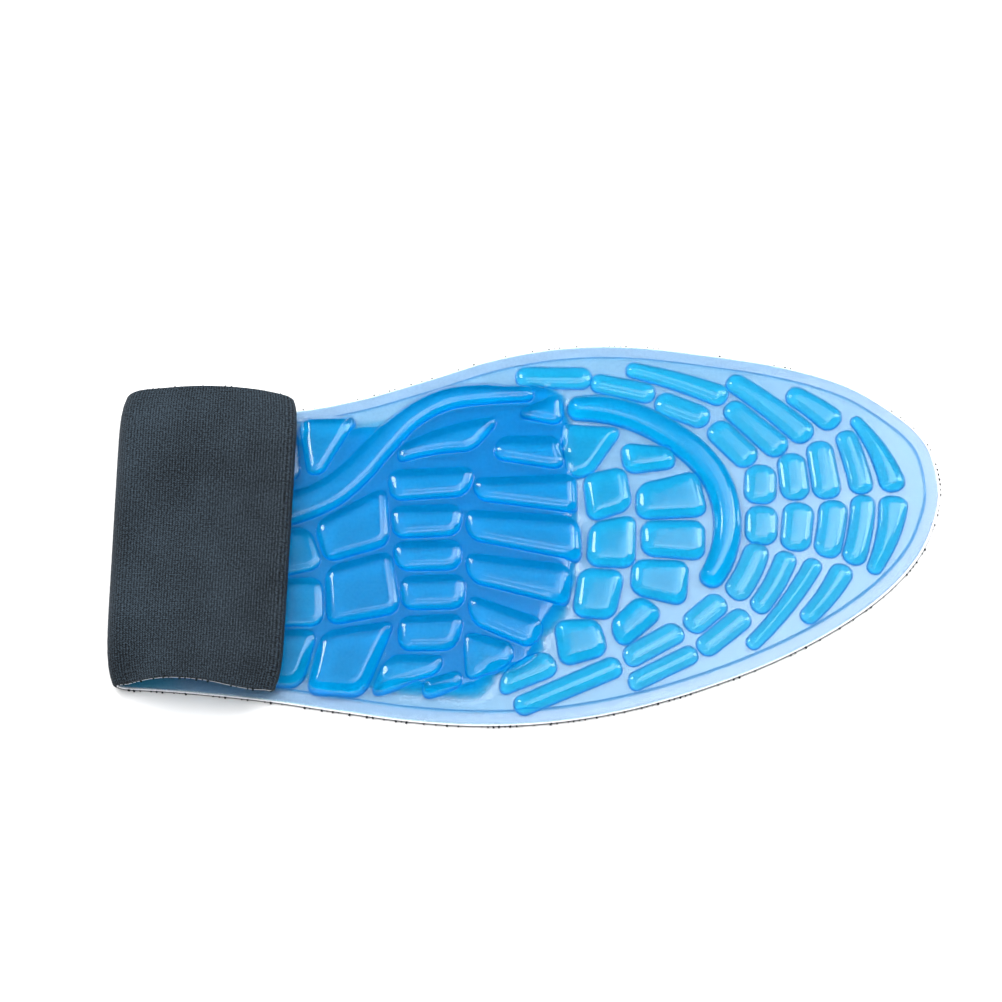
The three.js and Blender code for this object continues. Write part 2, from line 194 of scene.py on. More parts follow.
CELLS: dict[CellGroup, tuple[CellRow, ...]] = {
    group: tuple(CellRow(*row) for row in rows)
    for group, rows in {
        CellGroup.ARCH: (
            (-40.6, 27.0, -43.1, 11.5, 14.2, 3.4, 0, -13, -11),
            (-24.3, 16.9, -3.3, 23.2, 3.7, 8.8, 1.2, 21, 39),
            (-1.8, 19.8, 14.0, 18.8, 6.0, 8.6, 0, 9, -13),
            (13.8, 30.4, 3.9, 28.3, 9.4, 1.8, 0, 12, -3),
        ),
        CellGroup.HEEL: (
            (-41.2, -5.7, -25.7, 1.9, 10.3, 14.1, 0, 7, 20),
            (-39.0, -18.9, -23.2, -14.5, 14.1, 15.7, 0, 10, 5),
            (-41.0, -34.5, -26.0, -33.1, 14.1, 17.5, 0, 18, 26),
        ),
        CellGroup.FLAP_EDGE: (
            (-50.2, 23.1, -49.6, 9.6, 4.8, 6.6, 0, 0, 0),
            (-52.0, -8.8, -41.7, -6.7, 11.7, 10.8, 0, 8, -9),
            (-51.8, -20.6, -39.6, -20.0, 11.6, 12.1, 0, 0, -2),
            (-51.0, -33.9, -41.8, -33.5, 13.1, 13.3, 0, -1, 17),
        ),
        CellGroup.SHANK: (
            (-26.0, 9.3, -6.7, 11.0, 7.9, 7.4, 0, -4, 18),
            (-25.0, 0.1, -8.8, 1.2, 8.2, 7.9, 0, -5, 8),
            (-24.0, -8.4, -8.5, -7.5, 7.3, 7.5, 0, -9, 5),
            (-22.1, -17.4, -7.4, -16.5, 8.4, 8.6, 0, -3, 4),
            (-22.2, -27.3, -8.0, -26.5, 8.5, 8.9, 0, 0, 15),
        ),
        CellGroup.WAIST: (
            (-6.3, 9.0, 17.6, 8.7, 5.5, 10.0, 0, -16, -5),
            (-7.9, 0.1, 18.8, -2.7, 7.4, 11.0, 0, -17, -9),
            (-7.4, -10.5, 16.6, -14.4, 7.0, 10.1, 0, -22, -5),
            (-6.5, -20.6, 9.9, -26.7, 6.4, 7.8, 0, -31, 3),
        ),
        CellGroup.OUTER_SHANK: (
            (-26.3, -37.4, -12.0, -34.5, 9.1, 4.0, 0, 35, 25),
            (-16.1, -40.4, -7.4, -37.4, 3.8, 3.8, 0, 10, 4),
            (-7.0, -32.4, 4.1, -31.0, 13.0, 4.4, 0, 2, 2),
        ),
        CellGroup.OUTER_WAIST: (
            (1.2, -38.4, 13.4, -31.8, 4.7, 6.8, 0, 27, -3),
            (4.8, -43.7, 28.4, -32.2, 4.9, 5.3, 0, 0, 0),
        ),
        CellGroup.BALL: (
            (20.7, 27.0, 17.8, 13.6, 15.0, 5.2, 0, -10, -20),
            (19.4, 8.3, 29.6, 11.7, 12.0, 10.8, 0, 10, 8),
            (20.2, -3.1, 31.3, -1.8, 10.6, 13.5, 0, 9, 7),
            (17.7, -14.9, 27.9, -15.4, 12.1, 12.4, 0, 4, 8),
            (13.8, -27.8, 24.5, -25.6, 11.6, 8.9, 0, 2, -4),
            (27.7, 18.9, 40.0, 19.5, 8.2, 5.2, 0, -6, -10),
            (31.1, 7.9, 46.6, 10.7, 8.6, 11.9, 0, 10, -3),
            (32.4, -1.0, 47.2, -1.2, 8.7, 10.0, 0, -2, -1),
            (30.3, -10.6, 43.3, -12.1, 8.5, 11.4, 0, -4, -2),
            (26.9, -25.8, 35.4, -17.2, 6.8, 7.6, 0, 18, -7),
        ),
        CellGroup.INNER: (
            (2.5, 39.1, 20.3, 39.4, 5.5, 5.7, 0, 0, 0),
            (20.1, 38.6, 35.2, 35.5, 4.9, 5.2, 0, 0, 0),
            (28.3, 42.2, 52.1, 35.2, 3.8, 5.8, 0.6, 0, 0),
            (35.4, 34.2, 47.9, 29.4, 5.9, 5.9, 0, 0, 0),
            (52.3, 40.3, 71.3, 25.3, 5.0, 6.4, 0.6, 0, 0),
            (52.1, 33.6, 65.4, 21.7, 5.4, 6.6, 0, 0, 0),
            (48.6, 28.3, 58.2, 18.7, 6.3, 6.5, 0, 0, 0),
            (66.2, 37.2, 77.8, 29.0, 4.8, 6.8, 0.5, 0, 0),
            (81.4, 31.1, 91.0, 12.6, 2.7, 6.5, 1.3, 0, 0),
        ),
        CellGroup.TOE: (
            (60.0, 18.3, 59.8, 8.5, 7.2, 7.6, 0, 0, 0),
            (66.8, 21.5, 68.2, 9.7, 6.6, 6.8, 0, 0, 0),
            (73.3, 24.8, 75.6, 10.3, 6.2, 6.8, 0, 0, 0),
            (79.2, 27.6, 83.6, 11.8, 5.1, 5.7, 0.4, 0, 0),
            (60.3, 7.9, 60.0, -1.8, 7.5, 7.3, 0, 0, 0),
            (68.9, 9.0, 67.8, -3.1, 7.2, 7.0, 0, 0, 0),
            (76.8, 9.9, 74.8, -4.4, 6.7, 6.3, 0.4, 0, 0),
            (83.6, 11.4, 80.8, -6.0, 5.7, 5.5, 0.7, 0, 0),
            (90.7, 11.4, 85.3, -8.1, 7.2, 3.2, 1.2, 0, 0),
        ),
        CellGroup.OUTER: (
            (59.5, -1.6, 53.4, -15.1, 5.9, 6.1, 0.8, 0, 0),
            (66.3, -3.4, 58.7, -18.3, 5.2, 4.8, 0.8, 0, 0),
            (72.7, -5.1, 57.3, -27.2, 4.4, 3.4, 1, 0, 0),
            (79.3, -6.3, 69.7, -20.4, 5.6, 4.0, 0.8, 0, 0),
            (43.3, -23.1, 51.5, -15.4, 5.9, 5.9, 0, 0, 0),
            (46.2, -28.6, 57.0, -18.9, 5.3, 5.5, 0, 0, 0),
            (29.2, -31.2, 42.0, -23.2, 5.3, 5.5, 0, 8, -7),
            (30.3, -37.1, 45.5, -28.6, 4.5, 4.6, 0, 10, 0),
        ),
    }.items()
}

WEB_PATCHES = tuple(WebPatch(*row) for row in (
    (0.5, 27.0, 8.0, 6.0),
    (-5.0, 16.5, 8.0, 4.5),
    (-38.0, 13.5, 5.5, 4.0),
))

ARCH_BAND = tuple(BandRow(*row) for row in (
    (-54.0, 0.6, 7.6),
    (-47.0, 3.2, 8.0),
    (-39.5, 7.0, 7.8),
    (-33.2, 13.0, 7.2),
    (-28.2, 19.6, 6.8),
    (-22.0, 27.0, 6.6),
    (-14.0, 32.0, 6.4),
    (-4.0, 33.8, 6.0),
    (6.8, 33.6, 3.6),
))

BALL_BAND = tuple(BandRow(*row) for row in (
    (14.8, 31.2, 5.6),
    (23.0, 31.4, 6.8),
    (31.0, 29.4, 6.8),
    (38.0, 25.8, 6.8),
    (44.5, 21.0, 6.8),
    (49.6, 14.5, 6.6),
    (52.0, 7.0, 6.4),
    (52.2, 0.0, 6.2),
    (50.6, -6.5, 6.0),
    (47.6, -12.4, 5.4),
))

SOFTBOXES = (
    Softbox("overhead", (-0.3, 0.1, 1.0), (0.9, 0.9), 10.2, mirrored=False),
    Softbox("left_box", (-0.36, 0.29, 0.53), (0.12, 0.2), 1.2),
    Softbox("right_box", (0.46, 0.29, 0.46), (0.18, 0.3), 1.5),
    Softbox("top_strip", (0.03, -0.08, 0.75), (0.7, 0.045), 0.5),
    Softbox("back_box", (0.165, 0.19, 0.6), (0.28, 0.5), 1.25),
    Softbox("back_core", (0.165, 0.2, 0.58), (0.16, 0.3), 0.4),
    Softbox("left_low", (-0.8, 0.36, 0.08), (0.1, 0.3), 0.7),
    Softbox("right_low", (0.8, 0.36, 0.08), (0.1, 0.3), 0.7),
)


def linear(code: str) -> tuple[float, float, float, float]:
    """Turns an sRGB hex colour into a linear colour with full alpha.

    Args:
        code: The colour as "#rrggbb".

    Returns:
        Red, green, blue and alpha for a shader socket.
    """
    shares = [int(code[i:i + 2], 16) / 255 for i in (1, 3, 5)]
    red, green, blue = (s / 12.92 if s <= 0.04045 else ((s + 0.055) / 1.055) ** 2.4 for s in shares)
    return red, green, blue, 1.0


def add_node(
    tree: bpy.types.NodeTree,
    kind: str,
    values: dict | None = None,
    links: dict | None = None,
    stops: Sequence[tuple[float, str]] = (),
    **settings: object,
) -> bpy.types.Node:
    """Adds a node to a tree with its settings, socket values and incoming links.

    Args:
        tree: The shader or geometry tree.
        kind: The node's type name.
        values: Socket name or index to constant value.
        links: Socket name or index to the output that feeds it.
        stops: The places and hex colours of a colour ramp.
        settings: Properties of the node itself.

    Returns:
        The new node.
    """
    node = tree.nodes.new(kind)
    for name, value in settings.items():
        setattr(node, name, value)
    for socket, value in (values or {}).items():
        node.inputs[socket].default_value = value
    for socket, source in (links or {}).items():
        tree.links.new(source, node.inputs[socket])
    for index, (place, code) in enumerate(stops):
        node.color_ramp.elements[index].position = place
        node.color_ramp.elements[index].color = linear(code)
    return node


def add_object(name: str, data: bpy.types.ID) -> bpy.types.Object:
    """Makes an object and links it to the scene.

    Args:
        name: The object's name.
        data: Its mesh, light or camera.

    Returns:
        The object.
    """
    obj = bpy.data.objects.new(name, data)
    bpy.context.collection.objects.link(obj)
    return obj


def fade(values: np.ndarray, start: float, over: float) -> np.ndarray:
    """The share from 0 at a start to 1 further on, or further back where the distance is negative."""
    return np.clip((values - start) / over, 0, 1)


def smooth_line(points: Points, closed: bool, per_span: int) -> tuple[Points, Points]:
    """Samples a centripetal Catmull-Rom line through points.

    Args:
        points: The points, one a row.
        closed: Whether the line runs back to its start.
        per_span: Samples taken on each span.

    Returns:
        The sampled points and their unit tangents.
    """
    if closed:
        run = np.concatenate([points[-1:], points, points[:2]])
    else:
        run = np.concatenate([2 * points[:1] - points[1:2], points, 2 * points[-1:] - points[-2:-1]])
    p0, p1, p2, p3 = run[:-3], run[1:-2], run[2:-1], run[3:]
    pairs = ((p0, p1), (p1, p2), (p2, p3))
    d0, d1, d2 = (np.sqrt(np.linalg.norm(b - a, axis=1))[:, None] for a, b in pairs)
    out = ((p1 - p0) / d0 - (p2 - p0) / (d0 + d1) + (p2 - p1) / d1) * d1
    into = ((p2 - p1) / d1 - (p3 - p1) / (d1 + d2) + (p3 - p2) / d2) * d1
    square = -3 * p1 + 3 * p2 - 2 * out - into
    cube = 2 * p1 - 2 * p2 + out + into
    t = np.arange(per_span)[None, :, None] / per_span
    spans = [a[:, None, :] for a in (p1, out, square, cube)]
    line = (spans[0] + spans[1] * t + spans[2] * t**2 + spans[3] * t**3).reshape(-1, 2)
    slope = (spans[1] + 2 * spans[2] * t + 3 * spans[3] * t**2).reshape(-1, 2)
    if not closed:
        line = np.concatenate([line, points[-1:]])
        slope = np.concatenate([slope, into[-1:]])
    return line, slope / np.linalg.norm(slope, axis=1)[:, None]


def inside_distance(points: Points, loop: Points) -> np.ndarray:
    """Measures how far points lie inside a closed loop.

    Args:
        points: The points to measure, one a row.
        loop: The loop's corners in order.

    Returns:
        The distance to the loop for each point, negative outside it.
    """
    a, b = loop, np.roll(loop, -1, axis=0)
    along = b - a
    rel = points[:, None, :] - a[None, :, :]
    share = np.clip((rel * along).sum(2) / (along * along).sum(1), 0, 1)
    near = np.linalg.norm(rel - share[:, :, None] * along, axis=2).min(1)
    x, y = points[:, :1], points[:, 1:]
    spans = (a[:, 1] > y) != (b[:, 1] > y)
    rise = np.where(b[:, 1] == a[:, 1], 1.0, b[:, 1] - a[:, 1])
    crossed = spans & (x < a[:, 0] + (y - a[:, 1]) / rise * along[:, 0])
    return np.where(crossed.sum(1) % 2 == 1, near, -near)


def triangulate(
    loop: Points, lines: Sequence[Points], points: Points
) -> tuple[Points, np.ndarray, np.ndarray]:
    """Fills a loop with triangles that follow the closed lines inside it.

    Args:
        loop: The outer loop's corners in order.
        lines: Closed lines whose edges the triangles keep.
        points: Further points to include.

    Returns:
        The flat points, the triangles, and the index of each corner of the outer loop.
    """
    coords, edges = [], []
    for line in (loop, *lines):
        start = len(coords)
        coords.extend(Vector(p) for p in line)
        edges.extend((start + i, start + (i + 1) % len(line)) for i in range(len(line)))
    coords.extend(Vector(p) for p in points)
    inside_only, merge_within = 1, 1e-4
    flat, _, faces, origins, _, _ = delaunay_2d_cdt(coords, edges, [], inside_only, merge_within, True)
    where = {given: i for i, group in enumerate(origins) for given in group}
    rim = np.array([where[i] for i in range(len(loop))])
    flat, tris = np.array([tuple(p) for p in flat]), np.array(faces)[:, ::-1]
    beside = np.flatnonzero(np.isin(tris, rim).all(1))
    outside = beside[inside_distance(flat[tris[beside]].mean(1), loop) < 0]
    return flat, np.delete(tris, outside, axis=0), rim


class FlatCut:
    """The outline of the insole before it is rolled."""

    SAMPLES_PER_SPAN = 24

    def __init__(self, step: float) -> None:
        """Samples the outline.

        Args:
            step: The distance between samples.
        """
        corners = [(row.run, row.inner) for row in CUT]
        corners += [(row.run, row.outer) for row in reversed(CUT[1:-1])]
        line, tangent = smooth_line(np.array(corners, float), True, self.SAMPLES_PER_SPAN)
        gaps = np.linalg.norm(np.roll(line, -1, axis=0) - line, axis=1)
        reach = np.concatenate([[0], np.cumsum(gaps)])
        at = np.linspace(0, reach[-1], round(reach[-1] / step), endpoint=False)

        def even(values: Points) -> Points:
            """Takes values at even steps along the line."""
            closed = np.concatenate([values, values[:1]])
            return np.stack([np.interp(at, reach, closed[:, k]) for k in (0, 1)], axis=1)

        self.line = even(line)
        tangent = even(tangent)
        self.inward = np.stack([tangent[:, 1], -tangent[:, 0]], axis=1)
        self.inward /= np.linalg.norm(self.inward, axis=1)[:, None]

    def loop(self, inset: np.ndarray | float) -> Points:
        """The outline drawn in from the cut edge by an inset."""
        return self.line + self.inward * np.broadcast_to(inset, len(self.line))[:, None]


@dataclass(frozen=True)
class HeelRoll:
    """Carries the flat cut onto the rolled insole."""

    cloth_thickness: float = 1.0
    # The flap's sides sag below its middle.
    flap_middle: float = -6.0
    flap_half: float = 36.5
    sag_power: float = 10.0
    # The shallow dent in the middle of the flap.
    dent_run: float = 212.0
    dent_side: float = -5.0
    dent_depth: float = 2.4
    dent_along: float = 8.5
    dent_across: float = 12.0
    # The flap lies crooked: it leans ahead towards its near edge.
    skew: float = 1.7
    skew_side: float = 28.0
    skew_span: float = 70.0
    skew_from: float = 172.0
    skew_full: float = 190.0
    skew_to: float = 232.0
    # The flap's near edge is pinched at the fold, arched in its middle and low at its corner.
    arch_side: float = -25.0
    arch_span: float = 18.0
    arch_run: float = 213.0
    arch_back: float = 21.0
    arch_ahead: float = 15.0
    pinch: float = 0.36
    arch: float = 1.25
    arch_corner: float = 0.8

    @staticmethod
    def profile(run: np.ndarray, at_edge: bool) -> tuple[np.ndarray, np.ndarray, np.ndarray]:
        """Follows the roll's bends.

        Args:
            run: Distances back from the toe tip.
            at_edge: Whether to follow the flap's edge and not its middle.

        Returns:
            How far ahead and how high each point lies, and its heading.
        """
        heading = np.full(run.shape, math.pi)
        ahead = np.full(run.shape, TOE_AHEAD)
        up = np.zeros(run.shape)
        left = run.astype(float)
        for bend in ROLL:
            length = bend.edge_length if at_edge else bend.length
            rate = math.radians(bend.edge_turn if at_edge else bend.turn) / length
            share = fade(left, 0, bend.length)
            turned = heading - rate * share * length
            if rate == 0:
                ahead = ahead + np.cos(heading) * share * length
                up = up + np.sin(heading) * share * length
            else:
                ahead = ahead + (np.sin(heading) - np.sin(turned)) / rate
                up = up + (np.cos(turned) - np.cos(heading)) / rate
            heading = turned
            left = left - share * bend.length
        return ahead, up, heading

    def near_arch(self, run: np.ndarray, side: np.ndarray) -> np.ndarray:
        """How the flap's near edge stands against the roll: pinched at the fold, then arched.

        Args:
            run: Distances back from the toe tip.
            side: Distances towards the inner edge of the foot.

        Returns:
            The factor on each point's height.
        """
        fold = run < self.arch_run
        reach = np.where(fold, self.arch_ahead, self.arch_back)
        away = np.minimum(1, np.abs(run - self.arch_run) / reach)
        end = np.where(fold, self.pinch, self.arch_corner)
        share = self.arch + (end - self.arch) * away**2
        near = fade(side, self.arch_side, -self.arch_span) ** 2
        return 1 + near * (share - 1)

    def place(self, flat: Points, rise: np.ndarray | float) -> Points:
        """Rolls points of the flat cut.

        Args:
            flat: Run and side of each point.
            rise: Height above the face where the cloth meets the gel.

        Returns:
            The points in metres in the part's frame.
        """
        run, side = flat[:, 0], flat[:, 1]
        share = np.minimum(1, np.abs(side - self.flap_middle) / self.flap_half) ** self.sag_power
        middle, edge = self.profile(run, False), self.profile(run, True)
        ahead, up = ((1 - share) * m + share * e for m, e in zip(middle[:2], edge[:2]))
        up = up * self.near_arch(run, side)
        across = (1 - share) * np.sin(middle[2]) + share * np.sin(edge[2])
        above = -(1 - share) * np.cos(middle[2]) - share * np.cos(edge[2])
        size = np.hypot(across, above)
        along = (run - self.dent_run) / self.dent_along
        aside = (side - self.dent_side) / self.dent_across
        dent = np.where(run > FOLD_RUN, self.dent_depth * np.exp(-along**2 - aside**2), 0)
        crooked = self.skew * fade(side, self.skew_side, -self.skew_span)
        crooked = crooked * np.interp(run, (self.skew_from, self.skew_full, self.skew_to), (0, 1, 0))
        place = np.stack([
            ahead + crooked + rise * across / size - MIDDLE[0],
            side - MIDDLE[1],
            self.cloth_thickness + up + rise * above / size - dent,
        ], axis=1)
        return place * MM

    @staticmethod
    def rows(straight: float, turn: float) -> np.ndarray:
        """The runs where a sheet needs a row of points.

        Args:
            straight: The most that two rows may lie apart.
            turn: The most that the sheet may turn between two rows, in degrees.

        Returns:
            The runs from the toe tip to the heel tip.
        """
        runs, start = [0.0], 0.0
        for bend in ROLL:
            steps = math.ceil(max(bend.length / straight, abs(bend.turn) / turn))
            runs.extend(start + bend.length * (k + 1) / steps for k in range(steps))
            start += bend.length
        return np.array([run for run in runs if run < CUT[-1].run])


def even_points(loop: Points, rows: np.ndarray, step: float, clear: float) -> Points:
    """Spreads points in rows inside a loop.

    Args:
        loop: The loop.
        rows: The runs of the rows.
        step: The distance between points of a row.
        clear: How far the points stay from the loop.

    Returns:
        The points, every second row shifted by half a step.
    """
    sides = np.arange(loop[:, 1].min(), loop[:, 1].max(), step)
    points = np.concatenate([
        np.stack([np.full(sides.shape, run), sides + (i % 2) * step / 2], axis=1)
        for i, run in enumerate(rows)
    ])
    return points[inside_distance(points, loop) > clear]


def mesh_object(
    name: str,
    points: Points,
    faces: np.ndarray,
    materials: Sequence[bpy.types.Material],
    slots: np.ndarray | None = None,
    flat: Points | None = None,
) -> bpy.types.Object:
    """Makes a smooth-shaded object from points and triangles.

    Args:
        name: The piece's name.
        points: The points in metres.
        faces: The triangles, facing outwards.
        materials: The piece's materials.
        slots: The material index of each triangle.
        flat: Where each point lies on the flat cut, kept as a UV map in millimetres.

    Returns:
        The object, linked to the scene.
    """
    mesh = bpy.data.meshes.new(name)
    mesh.from_pydata(points.tolist(), [], faces.tolist())
    for material in materials:
        mesh.materials.append(material)
    if slots is not None:
        mesh.polygons.foreach_set("material_index", slots.astype(np.int32))
    if flat is not None:
        corners = np.empty(len(mesh.loops), np.int32)
        mesh.loops.foreach_get("vertex_index", corners)
        layer = mesh.uv_layers.new(name=FLAT_MAP)
        layer.uv.foreach_set("vector", flat[corners].astype(np.float32).ravel())
    mesh.shade_smooth()
    mesh.validate()
    return add_object(name, mesh)


def bridge(rims: Sequence[np.ndarray]) -> np.ndarray:
    """Joins loops into a band of triangles that faces out.

    Args:
        rims: The point indices of each loop, the upper loop first.

    Returns:
        The triangles.
    """
    bands = []
    for high, low in zip(rims, rims[1:]):
        high2, low2 = np.roll(high, -1), np.roll(low, -1)
        bands += [np.stack([high, low2, high2], 1), np.stack([high, low, low2], 1)]
    return np.concatenate(bands)


@dataclass(frozen=True)
class Finish:
    """A finish of the insole: a named material whose node tree a subclass fills."""

    name: str

    def material(self) -> bpy.types.Material:
        """Builds the finish's material.

        Returns:
            The material.
        """
        material = bpy.data.materials.new(self.name)
        material.use_nodes = True
        material.node_tree.nodes.clear()
        self.fill(material.node_tree)
        return material

    def fill(self, tree: bpy.types.NodeTree) -> None:
        """Fills the material's node tree."""
        raise NotImplementedError


@dataclass(frozen=True)
class ClearBlueGel(Finish):
    """Moulded polyurethane gel: clear and blue, so it is pale where thin and deep where thick. A darker
    blue is painted on as shade at the feet of walls, in the channels and along the bead.
    """

    name: str = "moulded_blue_gel"
    ior: float = 1.46
    roughness: float = 0.1
    clear_colour: str = "#ffffff"
    # Painted shade: the darker blue mixed into the gel's colour where its shade attribute is set.
    painted_shade_colour: str = "#5a9cf6"
    depth_colour: tuple[float, float, float] = (0.0, 0.922, 0.98)
    absorbed_per_mm: float = 0.95
    peel_mm: float = 1.6
    peel_depth_mm: float = 0.006

    def fill(self, tree: bpy.types.NodeTree) -> None:
        """Fills the gel's node tree.

        Args:
            tree: The material's tree.
        """
        place = add_node(tree, "ShaderNodeTexCoord").outputs["Object"]
        peel = add_node(
            tree, "ShaderNodeTexNoise",
            {"Scale": 1 / (self.peel_mm * MM), "Detail": 3.0, "Roughness": 0.6}, {"Vector": place},
        )
        bump = add_node(
            tree, "ShaderNodeBump", {"Strength": 1.0, "Distance": self.peel_depth_mm * MM},
            {"Height": peel.outputs["Fac"]},
        )
        # Painted shade: the attribute darkens the gel's colour at wall feet, in the channels and along
        # the bead.
        painted_shade = add_node(tree, "ShaderNodeAttribute", attribute_name=PAINTED_GEL_SHADE)
        tint = add_node(
            tree, "ShaderNodeMix", {"A": linear(self.clear_colour), "B": linear(self.painted_shade_colour)},
            {"Factor": painted_shade.outputs["Fac"]}, data_type="RGBA",
        )
        gel = add_node(
            tree, "ShaderNodeBsdfPrincipled",
            {"Transmission Weight": 1.0, "IOR": self.ior, "Roughness": self.roughness},
            {"Base Color": tint.outputs["Result"], "Normal": bump.outputs["Normal"]},
        )
        depth = add_node(
            tree, "ShaderNodeVolumeAbsorption",
            {"Color": (*self.depth_colour, 1.0), "Density": self.absorbed_per_mm / MM},
        )
        add_node(
            tree, "ShaderNodeOutputMaterial",
            links={"Surface": gel.outputs["BSDF"], "Volume": depth.outputs["Volume"]},
        )


@dataclass(frozen=True)
class BlackKnit(Finish):
    """Black polyester jersey: matt, with ribs of small loops, pale flecks of fibre and a blue sheen; the
    hollows between the loops are painted darker as shade.
    """

    name: str = "black_jersey_knit"
    dark: str = "#06090d"
    pale: str = "#3b4853"
    sheen: str = "#8fa9d0"
    wale_mm: float = 0.65
    course_mm: float = 0.5
    loop_lean: float = 1.3
    loop_depth_mm: float = 0.08
    # How much painted shade darkens the low parts of the loops.
    loop_shade: float = 0.35
    fleck_mm: float = 0.42
    fleck_height: float = 1.6
    patch_mm: float = 16.0
    patch_tone: float = 0.2
    dark_below: float = 0.66
    roughness: float = 0.85

    def fill(self, tree: bpy.types.NodeTree) -> None:
        """Fills the knit's node tree: two leaning legs a loop, with flecks of fibre over them, and
        painted shade that darkens the loops' low parts.

        Args:
            tree: The material's tree.
        """
        math_node = "ShaderNodeMath"
        place = add_node(tree, "ShaderNodeUVMap", uv_map=FLAT_MAP).outputs["UV"]
        axes = add_node(tree, "ShaderNodeSeparateXYZ", links={0: place}).outputs
        wale = add_node(tree, math_node, {1: self.wale_mm}, {0: axes["X"]}, operation="DIVIDE")
        lean = add_node(tree, math_node, {1: 0.5}, {0: wale.outputs[0]}, operation="PINGPONG")
        course = add_node(tree, math_node, {1: self.course_mm}, {0: axes["Y"]}, operation="DIVIDE")
        stitch = add_node(
            tree, math_node, {1: self.loop_lean},
            {0: lean.outputs[0], 2: course.outputs[0]}, operation="MULTIPLY_ADD",
        )
        across = add_node(tree, math_node, {1: 0.5}, {0: stitch.outputs[0]}, operation="PINGPONG")
        height = add_node(
            tree, math_node, links={0: across.outputs[0], 1: lean.outputs[0]}, operation="ADD",
        )
        flecks = add_node(
            tree, "ShaderNodeTexNoise", {"Scale": 1 / self.fleck_mm, "Detail": 3.0, "Roughness": 0.7},
            {"Vector": place},
        )
        fuzzy = add_node(
            tree, math_node, {1: self.fleck_height},
            {0: flecks.outputs["Fac"], 2: height.outputs[0]}, operation="MULTIPLY_ADD",
        )
        bump = add_node(
            tree, "ShaderNodeBump", {"Strength": 0.8, "Distance": self.loop_depth_mm * MM},
            {"Height": fuzzy.outputs[0]},
        )
        patches = add_node(
            tree, "ShaderNodeTexNoise", {"Scale": 1 / self.patch_mm, "Detail": 2.0}, {"Vector": place},
        )
        tone = add_node(
            tree, math_node, {1: self.patch_tone},
            {0: patches.outputs["Fac"], 2: flecks.outputs["Fac"]}, operation="MULTIPLY_ADD",
        )
        # Painted shade where the loops lie low, mixed with the random flecks and patches.
        loop_shade_and_flecks = add_node(
            tree, math_node, {1: self.loop_shade},
            {0: height.outputs[0], 2: tone.outputs[0]}, operation="MULTIPLY_ADD",
        )
        colour = add_node(
            tree, "ShaderNodeValToRGB", links={"Fac": loop_shade_and_flecks.outputs[0]},
            stops=((self.dark_below, self.dark), (1.0, self.pale)),
        )
        knit = add_node(
            tree, "ShaderNodeBsdfPrincipled",
            {
                "Roughness": self.roughness,
                "Specular IOR Level": 0.25,
                "Sheen Weight": 0.03,
                "Sheen Roughness": 0.45,
                "Sheen Tint": linear(self.sheen),
            },
            {"Base Color": colour.outputs["Color"], "Normal": bump.outputs["Normal"]},
        )
        add_node(tree, "ShaderNodeOutputMaterial", links={"Surface": knit.outputs["BSDF"]})


@dataclass(frozen=True)
class YarnFinish(Finish):
    """Polyester yarn: matt, with fibres of two shades and a little depth between them."""

    dark: str
    pale: str
    shade_stops: tuple[float, float]
    fibre_mm: float
    fibre_detail: float
    bump: float
    on_flat_cut: bool
    fibre_depth_mm: float = 0.05
    roughness: float = 0.85

    def fill(self, tree: bpy.types.NodeTree) -> None:
        """Fills the yarn's node tree.

        Args:
            tree: The material's tree.
        """
        if self.on_flat_cut:
            place = add_node(tree, "ShaderNodeUVMap", uv_map=FLAT_MAP).outputs["UV"]
            scale = 1 / self.fibre_mm
        else:
            place = add_node(tree, "ShaderNodeTexCoord").outputs["Object"]
            scale = 1 / (self.fibre_mm * MM)
        fibres = add_node(
            tree, "ShaderNodeTexNoise", {"Scale": scale, "Detail": self.fibre_detail}, {"Vector": place},
        ).outputs["Fac"]
        colour = add_node(
            tree, "ShaderNodeValToRGB", links={"Fac": fibres},
            stops=tuple(zip(self.shade_stops, (self.dark, self.pale))),
        )
        bump = add_node(
            tree, "ShaderNodeBump", {"Strength": self.bump, "Distance": self.fibre_depth_mm * MM},
            {"Height": fibres},
        )
        yarn = add_node(
            tree, "ShaderNodeBsdfPrincipled", {"Roughness": self.roughness, "Specular IOR Level": 0.2},
            {"Base Color": colour.outputs["Color"], "Normal": bump.outputs["Normal"]},
        )
        add_node(tree, "ShaderNodeOutputMaterial", links={"Surface": yarn.outputs["BSDF"]})


@dataclass(frozen=True)
class BlackYarn(YarnFinish):
    """A cut end of black polyester yarn: dark and matt, with paler fibres that fray out of it."""

    name: str = "black_polyester_yarn"
    dark: str = "#0a0d11"
    pale: str = "#39424c"
    shade_stops: tuple[float, float] = (0.4, 0.75)
    fibre_mm: float = 0.25
    fibre_detail: float = 3.0
    bump: float = 0.6
    on_flat_cut: bool = False
    roughness: float = 0.9


@dataclass(frozen=True)
class WhiteReverse(YarnFinish):
    """The white polyester reverse of the knit: bright and matt, so it lights the gel from below."""

    name: str = "white_knit_reverse"
    dark: str = "#e3e6ee"
    pale: str = "#f3f4f8"
    shade_stops: tuple[float, float] = (0.3, 0.6)
    fibre_mm: float = 0.7
    fibre_detail: float = 2.0
    bump: float = 0.5
    on_flat_cut: bool = True


